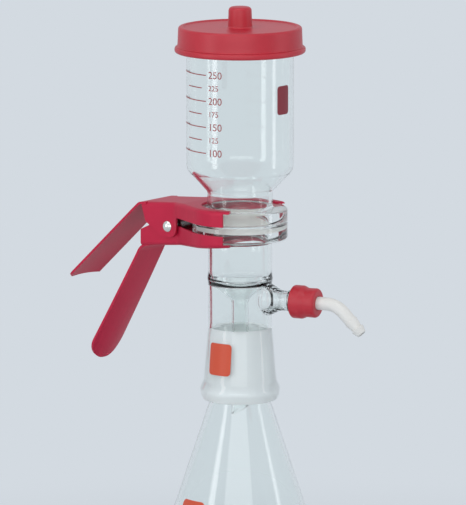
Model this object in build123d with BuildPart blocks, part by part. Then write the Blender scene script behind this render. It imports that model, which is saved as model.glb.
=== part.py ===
"""All-glass vacuum filtration unit for 50 mm membrane filters, in millimetres.

The frame is +Z up, with the origin on the flask's axis at the plane that it stands on.
The jaws of the clamp point along +X, its handles along -X, and its rivet lies along Y.
The side arm points just off +X. Every level is worked out upwards from the flask.
"""

from build123d import *

import math
import os

# ---- Flask: filtering flask of one litre ----
flask_d = 135.0  # outside diameter of the body
flask_wall = 2.3
flask_floor = 3.0  # thickness of the bottom
heel_r = 8.0  # outside radius between body and bottom
cone_angle = 18.4  # slope of the body from the vertical, degrees
neck_step = 1.25  # from the wide end of the ground cone in to the neck
neck_step_h = 1.5  # height of the step from the neck out to the ground cone
neck_blend_r = 18.0  # hollow curve from the neck to the body
neck_length = 5.2  # plain neck between the body and the ground cone
mouth_wall = 2.3  # of the ground cone at the mouth

# ---- Ground joint between the flask and the base ----
joint_d = 40.0  # wide end of the ground cone
joint_length = 40.0
joint_taper = 0.1  # diameter lost over each unit of length
joint_film = 0.06  # radial room for the grease

# ---- Filter base: its stem is as wide as the wide end of the ground cone ----
stem_wall = 2.2
stem_height = 67.3  # from the flask's mouth to the ground face of the flange
skirt_drop = 5.0  # skirt below the wide end of the ground cone
skirt_wall = 2.8  # outside the wide end of the ground cone
collar_out = 2.35  # of the collar, outside the skirt
collar_height = 7.0
collar_blend_h = 5.0  # height over which the skirt runs out into the collar
collar_foot_in = 1.6  # slope of the collar's lower edge
socket_room_h = 1.0  # ground socket above the flask's mouth
socket_neck_h = 3.0  # from the socket in to the stem
ring_seal_drop = 35.3  # below the ground face
ring_seal_bulge = 0.5  # of the bead on the stem's outside
ring_seal_half = 3.0  # half of the bead's height
socket_seam_drop = 4.8  # seam between stem and socket, below the ring seal
drip_seam_drop = 4.0  # seam between bowl and drip tube, below the bowl's foot
bowl_depth = 13.0  # from the ring seal to the drip tube
bowl_wall = 1.8
bowl_slant = 1.4  # upright thickness of the bowl's sloping wall, over its true one
drip_d = 10.6
drip_wall = 1.3
drip_reach = 10.0  # below the skirt
drip_bevel = 30.0  # slope of the drip tube's cut end, degrees

# ---- Ground flanges, frit and membrane ----
flange_d = 59.4
flange_bevel = 0.6  # ground edge of both ground faces
base_flange_h = 10.2
funnel_flange_h = 9.2
frit_ledge = 2.2  # that the frit sits on, inside the base's flange
frit_h = 4.6
fused = 0.15  # how far the frit is sunk into the glass around it
membrane_d = 50.0
membrane_h = 0.2

# ---- Funnel of 250 ml ----
bowl_d = 67.0
funnel_wall = 2.2
funnel_neck_d = 41.0
funnel_neck_h = 10.2  # from the flange to the shoulder
shoulder_rise = 14.0  # height of the sloping shoulder
shoulder_r = 9.0  # outside radius from the shoulder to the bowl
bowl_h = 86.8  # straight bowl from the shoulder to the rim
rim_out = 3.2  # how far the rim turns out
rim_h = 4.0
rim_edge = 0.6  # slope of the rim's outer edge
rim_mouth = 1.6  # by which the inside widens at the rim
rim_step = 0.5  # how much lower the rim starts outside than inside

# ---- Lid ----
lid_room = 0.4  # round the funnel's rim
lid_wall = 1.9
lid_h = 16.3
lid_draft = 0.5  # how much narrower the radius is at the top
lid_bead_out = 1.8  # how far the bead at the foot stands out
lid_bead_h = 3.8
lid_dish = 0.8  # depth of the sunk top
lid_rest_gap = 0.1  # over the funnel's rim
knob_d = 15.1
knob_h = 13.4
knob_draft = 0.4
knob_in_draft = 0.3
knob_crown = 0.5  # how far the knob's top is domed
knob_top_more = 0.4  # by which the knob's top is thicker than the lid's wall
lid_border = 2.6  # width of the raised border round the sunk top
dish_slope = 1.0  # width of the slope from the border down to the sunk top

# ---- Side arm, with its thread for a cap of size 14 ----
arm_azimuth = 13.0  # from +X, degrees
arm_drop = 47.6  # below the ground face
arm_root_d = 20.4
arm_flare = 9.0  # length of the hollow cone that runs into the arm
arm_d = 12.2  # over the root of the thread
arm_bore_d = 9.0
bore_mouth_out = 2.0  # by which the bore is wider where it leaves the stem
arm_length = 28.2  # from the stem's outside to the arm's glass lip

# ---- Seal, hose connector and screw cap ----
seal_h = 2.0
spigot_d = 7.4
spigot_length = 5.0
spigot_clearance = 0.05  # in the seal
face_gap = 0.05  # on each face of the connector's collar
collar_plate_out = 0.1  # of the connector's collar, beyond the seal
collar_plate_h = 1.8
hose_shaft_d = 8.2
hose_bore_d = 4.6
hose_straight = 5.6  # shaft in front of the cap
hose_bend_r = 16.6
hose_bend_angle = 45.0  # degrees
hose_tail = 17.6
barb_crest_d = 8.9
barb_root_d = 6.6
barb_tip_d = 5.8
barb_waist = 0.2  # by which the shaft narrows in front of the first barb
barb_places = (10.8, 4.4)  # crests, back from the tip
cap_d = 20.8
cap_body_d = 18.5
cap_ring = 6.6  # length of the wider ring at the open end
cap_cover = 11.3  # how far the cap reaches back over the arm
cap_end = 1.6  # thickness of the end wall
cap_step = 3.0  # length of the slope from the ring down to the body
cap_waist = 0.15  # by which the body is narrower behind the ring
thread_room = 1.2  # between the arm and the cap's bore
cap_aperture_clearance = 0.3

# ---- Clamp ----
sheet = 1.5
hinge_gap = 16.1  # from the flange's rim to the rivet
hinge_drop = 5.4  # rivet below the ground face
bend_back = 22.7  # from the rivet to the bend of the handles
lever_half_width = 15.8  # outside the upper lever's ears
ear_gap = 0.3  # between the two levers' ears
ear_r = 6.6
ear_front = 8.2  # reach of the upper lever's ears in front of the rivet
inner_ear_r = 5.6
upper_flare = 5.5  # from the rivet to where the upper lever starts to widen
lower_flare = 7.0
flare_r = 8.0  # hollow curve where the levers start to widen
jaw_gap = 0.7  # between the flange's rim and the jaws' walls
upper_fork_room = 3.5  # between the funnel's neck and the upper fork
lower_fork_room = 4.0  # between the stem and the lower fork
plate_end_angle = 65.0  # where the fork's arms end, from +X, degrees
wall_end_angle = 72.0  # where the folded walls end
upper_wall_h = 8.4  # folded wall in front, below the upper plate
lower_wall_h = 7.0
rear_slope = 4.2  # fall of the upper plate behind the flange, degrees
lower_slope = 5.9  # fall of the lower plate towards the handle, degrees
jaw_touch = 0.05  # between the jaws' plates and the flanges
fold_r = 2.6  # outside radius of the folds
ear_back_gap = 1.6  # between the bend and the upper lever's ears
ear_back = 17.2  # from the rivet to the rear corner of the upper lever's ears
ear_back_rise = 1.6  # of that corner, over the rivet
ear_foot_back = 4.5  # from the rivet to the corner below it
inner_ear_back = 1.7  # from the rivet to the rear corner of the lower lever's ears
rear_wall_drop = 4.0  # of the lower lever's walls at the bend, below the rivet
corner_short = 0.1  # by which a corner's radius is less than its ear's
crease_gap = 1.0  # from the flange's rim to where the upper plate starts to fall
flat_length = 7.0  # of a handle behind its bend, before it starts to hollow into a gutter
upper_handle_slope = 41.6  # below the horizontal, degrees
upper_handle_length = 79.5
upper_bend_r = 3.5  # inside radius of the bend between plate and handle
upper_gutter = 1.2  # hollow of the upper handle at its end
upper_half_width = 15.8
upper_end_half_width = 15.8
upper_end_r = 6.0
lower_handle_slope = 62.0
lower_handle_length = 88.0
lower_bend_r = 9.0
lower_gutter = 3.0
lower_half_width = 12.9
lower_end_half_width = 15.0
lower_end_r = 13.5

# ---- Rivet and spring ----
rivet_d = 4.0
rivet_clearance = 0.05
rivet_head_d = 6.9
rivet_head_h = 1.9
rivet_head_edge = 0.2  # upright rim of the heads
wire_d = 1.5
coil_d = 7.0  # over the middle of the wire
coil_loops = 7
coil_pitch = 1.7
upper_leg_angle = 158.0  # of the leg under the upper handle, from +X, degrees
lower_leg_angle = 198.0
upper_leg = 22.0
lower_leg = 22.0


# ---- For the solids that cut ----
past = 1.0  # how far a cutting solid reaches past what it cuts
blank = 5.0  # how far a lever's blank reaches past the lever


def slope(degrees):
    """Fall over each unit of length of a line at that angle to the axis it falls along."""
    return math.tan(math.radians(degrees))


def outline(rows):
    """A closed outline through (across, up, corner radius) rows."""
    points = [(across, up) for across, up, _ in rows]
    return FilletPolyline(*points, radius=[radius for _, _, radius in rows], close=True)


# ---- Levels and places that follow from the sizes above ----
flask_r = flask_d / 2
neck_r = joint_d / 2 - neck_step
heel_reach = 1 / math.cos(math.radians(cone_angle)) + slope(cone_angle) - 1
body_foot_r = flask_r + heel_r * heel_reach  # where the body's slope would meet the table
body_top_z = (body_foot_r - neck_r) / slope(cone_angle)
joint_foot_z = body_top_z + neck_length
mouth_z = joint_foot_z + joint_length
seam_z = mouth_z + stem_height
skirt_foot_z = joint_foot_z - skirt_drop
ring_seal_z = seam_z - ring_seal_drop
bowl_foot_z = ring_seal_z - bowl_depth
drip_tip_z = skirt_foot_z - drip_reach
arm_z = seam_z - arm_drop
frit_z = seam_z - frit_h
base_flange_z = seam_z - base_flange_h
funnel_foot_z = seam_z + membrane_h
funnel_flange_z = funnel_foot_z + funnel_flange_h
shoulder_z = funnel_flange_z + funnel_neck_h
bowl_z = shoulder_z + shoulder_rise
rim_z = bowl_z + bowl_h
lid_ceiling_z = rim_z + lid_rest_gap
lid_top_z = lid_ceiling_z + lid_wall + lid_dish
lid_foot_z = lid_top_z - lid_h
flange_r = flange_d / 2
stem_r = joint_d / 2
stem_in_r = stem_r - stem_wall
skirt_r = joint_d / 2 + skirt_wall
collar_r = skirt_r + collar_out
frit_r = stem_in_r + frit_ledge
arm_reach = stem_r + arm_length
arm_lip_r = arm_d / 2
cap_bore_r = arm_lip_r + thread_room
drip_r = drip_d / 2


def joint_r(z, film=0.0):
    """Radius of the ground cone at that level, with room for the film."""
    return joint_d / 2 - (z - joint_foot_z) * joint_taper / 2 + film


# ---- Flask ----
body_in_z = body_top_z - flask_wall * slope(cone_angle / 2)
body_foot_in_r = neck_r - flask_wall + (body_in_z - flask_floor) * slope(cone_angle)

with BuildPart() as flask:
    with BuildSketch(Plane.XZ):
        with BuildLine():
            outline(
                [
                    (0, 0, 0),
                    (body_foot_r, 0, heel_r),
                    (neck_r, body_top_z, neck_blend_r),
                    (neck_r, joint_foot_z - neck_step_h, 0.8),
                    (joint_r(joint_foot_z), joint_foot_z, 0.5),
                    (joint_r(mouth_z), mouth_z, 0.8),
                    (joint_r(mouth_z) - mouth_wall, mouth_z, 0.8),
                    (neck_r - flask_wall, joint_foot_z, 8),
                    (neck_r - flask_wall, body_in_z, neck_blend_r + flask_wall),
                    (body_foot_in_r, flask_floor, heel_r - flask_wall),
                    (0, flask_floor, 0),
                ]
            )
        make_face()
    revolve(axis=Axis.Z)
flask.part.label = "flask"

# ---- The side arm's line ----
arm_direction = Vector(
    math.cos(math.radians(arm_azimuth)), math.sin(math.radians(arm_azimuth)), 0
)
arm_centre = Vector(0, 0, arm_z)
arm_axis = Axis(arm_centre, arm_direction)
arm_plane = Plane(
    origin=arm_centre,
    x_dir=arm_direction,
    z_dir=Vector(arm_direction.Y, -arm_direction.X, 0),
)  # local x runs out along the arm and local y is up

# ---- Filter base: four glass pieces, fused where they meet face to face ----
socket_foot_r = joint_r(skirt_foot_z, joint_film)
socket_top_in_z = mouth_z + socket_room_h
bowl_under_z = ring_seal_z - bowl_wall * bowl_slant
socket_top_z = ring_seal_z - socket_seam_drop
drip_top_z = bowl_foot_z - drip_seam_drop
drip_in_r = drip_r - drip_wall
bore_r = arm_bore_d / 2
bore_mouth_r = bore_r + bore_mouth_out
bore_start_r = stem_in_r - 4.0  # inside the stem, where the bore's solid begins
bore_flare_r = stem_r + arm_flare - 1.0  # where the bore's mouth has run into the bore
arm_start_r = stem_in_r - 6.0

with BuildPart() as arm_bore:
    with BuildSketch(arm_plane):
        with BuildLine():
            outline(
                [
                    (bore_start_r, 0, 0),
                    (bore_start_r, bore_mouth_r, 0),
                    (stem_in_r, bore_mouth_r, 0),
                    (bore_flare_r, bore_r, 12),
                    (arm_reach + past, bore_r, 0),
                    (arm_reach + past, 0, 0),
                ]
            )
        make_face()
    revolve(axis=arm_axis)

# Flange and stem, with the bowl that the ring seal joins to the stem's wall
with BuildPart() as filter_base:
    with BuildSketch(Plane.XZ):
        with BuildLine():
            outline(
                [
                    (flange_r - flange_bevel, seam_z, 0),
                    (flange_r, seam_z - flange_bevel, 0),
                    (flange_r, base_flange_z, 1.6),
                    (stem_r, base_flange_z, 3.0),
                    (stem_r, ring_seal_z + ring_seal_half, 4),
                    (stem_r + ring_seal_bulge, ring_seal_z, 4),
                    (stem_r, ring_seal_z - ring_seal_half, 4),
                    (stem_r, socket_top_z, 0),
                    (stem_in_r, socket_top_z, 0),
                    (stem_in_r, bowl_under_z, 0.8),
                    (drip_r, bowl_foot_z - bowl_wall / 2, 5),
                    (drip_r, drip_top_z, 0),
                    (drip_in_r, drip_top_z, 0),
                    (drip_in_r, bowl_foot_z, 4),
                    (stem_in_r, ring_seal_z, 3),
                    (stem_in_r, frit_z, 0),
                    (frit_r, frit_z, 0),
                    (frit_r, seam_z, 0),
                ]
            )
        make_face()
    revolve(axis=Axis.Z)
filter_base.part.label = "filter_base"

# Stem below the ring seal and the skirt with its ground socket
with BuildPart() as joint_socket:
    with BuildSketch(Plane.XZ):
        with BuildLine():
            outline(
                [
                    (stem_r, socket_top_z, 0),
                    (stem_r, mouth_z, 30),
                    (skirt_r, skirt_foot_z + collar_height + collar_blend_h, 4),
                    (collar_r, skirt_foot_z + collar_height, 3),
                    (collar_r - collar_foot_in, skirt_foot_z, 2.6),
                    (socket_foot_r, skirt_foot_z, 0),
                    (joint_r(socket_top_in_z, joint_film), socket_top_in_z, 2),
                    (stem_in_r, socket_top_in_z + socket_neck_h, 2),
                    (stem_in_r, socket_top_z, 0),
                ]
            )
        make_face()
    revolve(axis=Axis.Z)
    add(arm_bore.part, mode=Mode.SUBTRACT)
joint_socket.part.label = "joint_socket"

# Drip tube below the bowl, its end cut at a slant
with BuildPart() as drip_tube:
    with BuildSketch(Plane.XZ):
        with BuildLine():
            outline(
                [
                    (drip_r, drip_top_z, 0),
                    (drip_r, drip_tip_z, 0.4),
                    (drip_in_r, drip_tip_z, 0.4),
                    (drip_in_r, drip_top_z, 0),
                ]
            )
        make_face()
    revolve(axis=Axis.Z)
    with BuildSketch(Plane.XZ):
        with BuildLine():
            Polyline(
                (-drip_r - past, drip_tip_z - past),
                (drip_r + past, drip_tip_z - past),
                (drip_r + past, drip_tip_z + (drip_d + 2 * past) * slope(drip_bevel)),
                close=True,
            )
        make_face()
    extrude(amount=drip_r + past, both=True, mode=Mode.SUBTRACT)
drip_tube.part.label = "drip_tube"

# Side arm: a flared root on the stem's wall and a straight tube
with BuildPart() as side_arm:
    with BuildSketch(arm_plane):
        with BuildLine():
            outline(
                [
                    (arm_start_r, 0, 0),
                    (arm_start_r, arm_root_d / 2, 0),
                    (stem_r, arm_root_d / 2, 2.0),
                    (stem_r + arm_flare, arm_lip_r, 14),
                    (arm_reach, arm_lip_r, 0.7),
                    (arm_reach, 0, 0),
                ]
            )
        make_face()
    revolve(axis=arm_axis)
    with Locations((0, 0, arm_z)):
        Cylinder(stem_in_r + stem_wall / 2, 2 * arm_root_d, mode=Mode.SUBTRACT)
    add(arm_bore.part, mode=Mode.SUBTRACT)
    add(joint_socket.part, mode=Mode.SUBTRACT)
    add(filter_base.part, mode=Mode.SUBTRACT)
side_arm.part.label = "side_arm"

# ---- Frit: a disc of sintered glass fused into the base's flange ----
with BuildPart() as frit_disc:
    with BuildSketch(Plane.XY.offset(frit_z - fused)):
        Circle(frit_r + fused)
    extrude(amount=frit_h + fused)
frit_disc.part.label = "frit_disc"

# ---- Membrane: held between the two ground faces ----
with BuildPart() as membrane_filter:
    with BuildSketch(Plane.XY.offset(seam_z)):
        Circle(membrane_d / 2)
    extrude(amount=membrane_h)
membrane_filter.part.label = "membrane_filter"

# ---- Funnel ----
funnel_neck_r = funnel_neck_d / 2
bowl_r = bowl_d / 2
rim_r = bowl_r + rim_out
shoulder_angle = math.degrees(math.atan2(bowl_r - funnel_neck_r, shoulder_rise))
wall_lift = funnel_wall * slope(shoulder_angle / 2)
neck_fillet_r = 4.0

with BuildPart() as funnel:
    with BuildSketch(Plane.XZ):
        with BuildLine():
            outline(
                [
                    (funnel_neck_r - funnel_wall, funnel_foot_z, 0.4),
                    (flange_r - flange_bevel, funnel_foot_z, 0),
                    (flange_r, funnel_foot_z + flange_bevel, 0),
                    (flange_r, funnel_flange_z, 1.6),
                    (funnel_neck_r, funnel_flange_z, 2.2),
                    (funnel_neck_r, shoulder_z, neck_fillet_r),
                    (bowl_r, bowl_z, shoulder_r),
                    (bowl_r, rim_z - rim_h, 4),
                    (rim_r, rim_z - funnel_wall / 2, 0.8),
                    (rim_r - rim_edge, rim_z, 0.8),
                    (bowl_r - funnel_wall + rim_mouth, rim_z, 0.9),
                    (bowl_r - funnel_wall, rim_z - rim_h + rim_step, 4),
                    (bowl_r - funnel_wall, bowl_z + wall_lift, shoulder_r - funnel_wall),
                    (
                        funnel_neck_r - funnel_wall,
                        shoulder_z + wall_lift,
                        neck_fillet_r + funnel_wall,
                    ),
                ]
            )
        make_face()
    revolve(axis=Axis.Z)
funnel.part.label = "funnel"

# ---- Lid: one moulding with a hollow knob ----
lid_in_r = rim_r + lid_room
lid_r = lid_in_r + lid_wall
knob_r = knob_d / 2
dish_z = lid_top_z - lid_dish
knob_top_z = dish_z + knob_h
bead_r = lid_r + lid_bead_out
border_in_r = lid_r - lid_draft - lid_border
knob_in_r = knob_r - lid_wall
knob_in_z = knob_top_z - lid_wall - knob_top_more

with BuildPart() as lid:
    with BuildSketch(Plane.XZ):
        with BuildLine():
            outline(
                [
                    (0, knob_top_z, 0),
                    (knob_r - knob_draft, knob_top_z - knob_crown, 2.4),
                    (knob_r, dish_z, 1.2),
                    (border_in_r - dish_slope, dish_z, 1.0),
                    (border_in_r, lid_top_z, 0.8),
                    (lid_r - lid_draft, lid_top_z, 1.6),
                    (lid_r, lid_foot_z + lid_bead_h, 0.8),
                    (bead_r, lid_foot_z + lid_bead_h, 1.5),
                    (bead_r, lid_foot_z, 1.4),
                    (lid_in_r, lid_foot_z, 0.4),
                    (lid_in_r - lid_draft / 2, lid_ceiling_z, 0.2),
                    (knob_in_r, lid_ceiling_z, 0.8),
                    (knob_in_r - knob_in_draft, knob_in_z, 1.0),
                    (0, knob_in_z, 0),
                ]
            )
        make_face()
    revolve(axis=Axis.Z)
lid.part.label = "lid"

# ---- Cap seal: a ring on the arm's glass lip ----
seal_in_r = spigot_d / 2 + spigot_clearance
seal_end = arm_reach + seal_h

with BuildPart() as cap_seal:
    with BuildSketch(arm_plane):
        with BuildLine():
            outline(
                [
                    (arm_reach, seal_in_r, 0),
                    (arm_reach, arm_lip_r, 0.3),
                    (seal_end, arm_lip_r, 0.3),
                    (seal_end, seal_in_r, 0),
                ]
            )
        make_face()
    revolve(axis=arm_axis)
cap_seal.part.label = "cap_seal"

# ---- Hose connector: spigot, collar and shaft, a bend and a barbed tail ----
hose_shaft_r = hose_shaft_d / 2
hose_bore_r = hose_bore_d / 2
collar_start = seal_end + face_gap
collar_end = collar_start + collar_plate_h
cap_inside = collar_end + face_gap
cap_face = cap_inside + cap_end
bend_start = cap_face + hose_straight
bend = math.radians(hose_bend_angle)
tail_start = (
    bend_start + hose_bend_r * math.sin(bend),
    -hose_bend_r * (1 - math.cos(bend)),
)
tail_end = (
    tail_start[0] + hose_tail * math.cos(bend),
    tail_start[1] - hose_tail * math.sin(bend),
)
bend_middle = (
    bend_start + hose_bend_r * math.sin(bend / 2),
    -hose_bend_r * (1 - math.cos(bend / 2)),
)
tail_origin = arm_plane.from_local_coords(tail_start)
tail_tip = arm_plane.from_local_coords(tail_end)
tail_plane = Plane(origin=tail_origin, x_dir=tail_tip - tail_origin, z_dir=arm_plane.z_dir)
shaft_start = Plane(
    origin=arm_plane.from_local_coords((bend_start, 0)), z_dir=arm_direction
)
bore_start = Plane(
    origin=arm_plane.from_local_coords((seal_end - spigot_length - past, 0)),
    z_dir=arm_direction,
)
first_barb, last_barb = [hose_tail - place for place in barb_places]

with BuildPart() as hose_connector:
    with BuildSketch(arm_plane):
        with BuildLine():
            outline(
                [
                    (seal_end - spigot_length, 0, 0),
                    (seal_end - spigot_length, spigot_d / 2, 0.6),
                    (collar_start, spigot_d / 2, 0),
                    (collar_start, arm_lip_r + collar_plate_out, 0.2),
                    (collar_end, arm_lip_r + collar_plate_out, 0.2),
                    (collar_end, hose_shaft_r, 0),
                    (bend_start, hose_shaft_r, 0),
                    (bend_start, 0, 0),
                ]
            )
        make_face()
    revolve(axis=arm_axis)
    with BuildLine(arm_plane):
        ThreePointArc((bend_start, 0), bend_middle, tail_start)
    with BuildSketch(shaft_start):
        Circle(hose_shaft_r)
    sweep()
    with BuildSketch(tail_plane):
        with BuildLine():
            outline(
                [
                    (0, 0, 0),
                    (0, hose_shaft_r, 0),
                    (first_barb, hose_shaft_r - barb_waist, 0),
                    (first_barb, barb_crest_d / 2, 0.3),
                    (last_barb, barb_root_d / 2, 0),
                    (last_barb, barb_crest_d / 2, 0.3),
                    (hose_tail, barb_tip_d / 2, 0.5),
                    (hose_tail, 0, 0),
                ]
            )
        make_face()
    revolve(axis=Axis(tail_origin, tail_tip - tail_origin))
    with BuildLine(arm_plane):
        Line((seal_end - spigot_length - past, 0), (bend_start, 0))
        ThreePointArc((bend_start, 0), bend_middle, tail_start)
        Line(tail_start, (tail_end[0] + math.cos(bend), tail_end[1] - math.sin(bend)))
    with BuildSketch(bore_start):
        Circle(hose_bore_r)
    sweep(mode=Mode.SUBTRACT)
hose_connector.part.label = "hose_connector"

# ---- Screw cap with an open end ----
cap_start = arm_reach - cap_cover
cap_r = cap_d / 2
cap_body_r = cap_body_d / 2
aperture_r = hose_shaft_r + cap_aperture_clearance

with BuildPart() as side_arm_cap:
    with BuildSketch(arm_plane):
        with BuildLine():
            outline(
                [
                    (cap_start, cap_bore_r, 0.4),
                    (cap_start, cap_r, 1.4),
                    (cap_start + cap_ring, cap_r, 1.6),
                    (cap_start + cap_ring + cap_step, cap_body_r - cap_waist, 4),
                    (cap_face, cap_body_r, 1.8),
                    (cap_face, aperture_r, 0.3),
                    (cap_inside, aperture_r, 0),
                    (cap_inside, cap_bore_r, 0),
                ]
            )
        make_face()
    revolve(axis=arm_axis)
side_arm_cap.part.label = "side_arm_cap"

# ---- Clamp: plan and side view of a folded lever ----
hinge_x = -flange_r - hinge_gap
hinge_z = seam_z - hinge_drop
bend_x = hinge_x - bend_back
rear_x = bend_x - 2 * past  # behind the bend, where blanks are cut off
jaw_wall_r = flange_r + jaw_gap + sheet
inner_half_width = lever_half_width - sheet - ear_gap
span = -4 * hinge_x  # longer than any part of a lever in front of its bend
front_x = jaw_wall_r + blank  # just in front of the jaws


def touch_point(x, y, radius):
    """Where a straight line from (x, y) runs into the circle about the axis, on its outer side."""
    away = math.hypot(x, y)
    angle = math.atan2(y, x) - math.acos(radius / away)
    return radius * math.cos(angle), radius * math.sin(angle)


def fork_plan(flare_x, half_width, radius, curve_r):
    """Plan of a lever: parallel sides at the ears and a flare that runs into a round front."""
    touch_x, touch_y = touch_point(flare_x, half_width, radius)
    with BuildSketch() as plan:
        Circle(radius)
        with BuildLine():
            outline(
                [
                    (rear_x, half_width, 0),
                    (flare_x, half_width, curve_r),
                    (touch_x, touch_y, 0),
                    (touch_x, -touch_y, 0),
                    (flare_x, -half_width, curve_r),
                    (rear_x, -half_width, 0),
                ]
            )
        make_face()
    return plan.sketch


def mouth_wedge(end_angle):
    """Plan of the open mouth: a wedge in front of the arms."""
    angle = math.radians(end_angle)
    with BuildSketch() as wedge:
        with BuildLine():
            Polyline(
                (0, 0),
                (span * math.cos(angle), span * math.sin(angle)),
                (span, span * math.sin(angle)),
                (span, -span * math.sin(angle)),
                (span * math.cos(angle), -span * math.sin(angle)),
                close=True,
            )
        make_face()
    return wedge.sketch


def gutter_section(half_width, depth, back):
    """Bent strip across a handle, its back towards local y times back."""
    edge_y = -back * depth
    with BuildSketch() as section:
        with BuildLine():
            ThreePointArc((-half_width, edge_y), (0, 0), (half_width, edge_y))
            Line((half_width, edge_y), (half_width, edge_y - back * sheet))
            ThreePointArc(
                (half_width, edge_y - back * sheet),
                (0, -back * sheet),
                (-half_width, edge_y - back * sheet),
            )
            Line((-half_width, edge_y - back * sheet), (-half_width, edge_y))
        make_face()
    return section.sketch


def handle(bend_z, plate_slope, down, length, bend_r, depth, half_width, end_half_width, end_r, side):
    """A handle: a flat bent strip, and a strip that hollows into a gutter towards its end.

    bend_z is the level where the outer faces of plate and handle would meet in a corner, the
    two slopes are below the horizontal, and side is 1 when the handle's back looks up and -1
    when it looks down.
    """
    run = Vector(-math.cos(math.radians(down)), 0, -math.sin(math.radians(down)))
    start = Vector(bend_x, 0, bend_z)
    across = Vector(0, 1, 0)
    flat_plane = Plane(origin=start + run * flat_length, x_dir=across, z_dir=run)
    end_plane = flat_plane.offset(length - flat_length)
    blank_half_width = max(half_width, end_half_width)
    blank_plane = Plane(origin=start, x_dir=run, z_dir=flat_plane.y_dir)
    back = side if flat_plane.y_dir.Z > 0 else -side
    inward = flat_plane.y_dir * (-back * sheet)
    plate_run = 6.0  # of the plate that the bent strip shares
    fall = slope(plate_slope)
    drop = -side * sheet / math.cos(math.radians(plate_slope))
    half_turn = math.radians((down - plate_slope) / 2)
    inner_x = bend_x + side * sheet / math.cos(half_turn) * math.sin(
        math.radians(plate_slope) + half_turn
    )
    inner_z = bend_z + drop + (inner_x - bend_x) * fall
    flat_end = start + run * flat_length
    with BuildPart() as strap:
        with BuildSketch(Plane.XZ):
            with BuildLine():
                outline(
                    [
                        (bend_x + plate_run, bend_z + plate_run * fall, 0),
                        (bend_x, bend_z, bend_r + (sheet if side > 0 else 0)),
                        (flat_end.X, flat_end.Z, 0),
                        (flat_end.X + inward.X, flat_end.Z + inward.Z, 0),
                        (inner_x, inner_z, bend_r + (0 if side > 0 else sheet)),
                        (bend_x + plate_run, bend_z + drop + plate_run * fall, 0),
                    ]
                )
            make_face()
        extrude(amount=half_width, both=True)
        with BuildSketch(flat_plane):
            with Locations((0, -back * sheet / 2)):
                Rectangle(2 * blank_half_width, sheet)
        with BuildSketch(end_plane):
            add(gutter_section(blank_half_width, depth, back))
        loft()
        with BuildSketch(blank_plane):
            with BuildLine():
                outline(
                    [
                        (-length, -half_width, 0),
                        (flat_length, -half_width, 0),
                        (length, -end_half_width, end_r),
                        (length, end_half_width, end_r),
                        (flat_length, half_width, 0),
                        (-length, half_width, 0),
                    ]
                )
            make_face()
        extrude(amount=length, both=True, mode=Mode.INTERSECT)
    return strap.part


rivet_hole_r = rivet_d / 2 + rivet_clearance
rivet_axis_plane = Plane(
    origin=(hinge_x, 0, hinge_z), x_dir=(1, 0, 0), z_dir=(0, -1, 0)
)  # local y is up

# ---- Upper lever: level over the flange and falling behind it ----
upper_top_z = funnel_flange_z + jaw_touch + sheet
upper_crease_x = -flange_r - crease_gap
upper_bend_z = upper_top_z - (upper_crease_x - bend_x) * slope(rear_slope)
upper_wall_z = upper_top_z - sheet - upper_wall_h
upper_flare_x = hinge_x + upper_flare
ear_front_x = hinge_x + ear_front
ear_foot_z = hinge_z - ear_r
upper_fork_r = funnel_neck_r + upper_fork_room

with BuildPart() as upper_core:
    with BuildSketch(Plane.XY.offset(ear_foot_z - 2 * blank)):
        add(fork_plan(upper_flare_x, lever_half_width - sheet, jaw_wall_r - sheet, flare_r + sheet))
    extrude(amount=span)
    with BuildSketch(Plane.XZ):
        with BuildLine():
            Polyline(
                (span, ear_foot_z - blank),
                (span, upper_top_z - sheet),
                (upper_crease_x, upper_top_z - sheet),
                (rear_x, upper_bend_z - sheet - (bend_x - rear_x) * slope(rear_slope)),
                (rear_x, ear_foot_z - blank),
                close=True,
            )
        make_face()
    extrude(amount=span, both=True, mode=Mode.INTERSECT)

with BuildPart() as clamp_upper_lever:
    with BuildSketch(Plane.XY.offset(ear_foot_z - blank)):
        add(fork_plan(upper_flare_x, lever_half_width, jaw_wall_r, flare_r))
    extrude(amount=span)
    with BuildSketch(Plane.XZ):
        with BuildLine():
            outline(
                [
                    (span, upper_top_z, 0),
                    (upper_crease_x, upper_top_z, 0),
                    (bend_x + ear_back_gap, upper_bend_z + ear_back_gap * slope(rear_slope), 0),
                    (hinge_x - ear_back, hinge_z + ear_back_rise, 1.0),
                    (hinge_x - ear_foot_back, ear_foot_z, ear_r - corner_short),
                    (ear_front_x, ear_foot_z, ear_r - corner_short),
                    (ear_front_x, upper_wall_z, 1.6),
                    (span, upper_wall_z, 0),
                ]
            )
        make_face()
    extrude(amount=span, both=True, mode=Mode.INTERSECT)
    top_faces = clamp_upper_lever.faces().filter_by(lambda face: face.normal_at().Z > 0.9)
    fold_edges = [
        edge
        for edge in top_faces.edges()
        if edge.center().X > bend_x + past and abs(edge.center().Y) > past
    ]
    fillet(fold_edges, radius=fold_r)
    add(upper_core.part, mode=Mode.SUBTRACT)
    with BuildSketch(Plane.XY.offset(hinge_z)):
        with Locations((span / 2, 0)):
            Rectangle(span, 2 * upper_fork_r)
        Circle(upper_fork_r)
    extrude(amount=span, mode=Mode.SUBTRACT)
    with BuildSketch(Plane.XY.offset(hinge_z)):
        add(mouth_wedge(plate_end_angle))
    extrude(amount=span, mode=Mode.SUBTRACT)
    with BuildSketch(Plane.XY.offset(hinge_z)):
        add(mouth_wedge(wall_end_angle))
    extrude(amount=upper_top_z - sheet - hinge_z, mode=Mode.SUBTRACT)
    with BuildSketch(rivet_axis_plane):
        Circle(rivet_hole_r)
    extrude(amount=span, both=True, mode=Mode.SUBTRACT)
    add(
        handle(
            upper_bend_z,
            rear_slope,
            upper_handle_slope,
            upper_handle_length,
            upper_bend_r,
            upper_gutter,
            upper_half_width,
            upper_end_half_width,
            upper_end_r,
            1,
        )
    )
clamp_upper_lever.part.label = "clamp_upper_lever"

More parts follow.
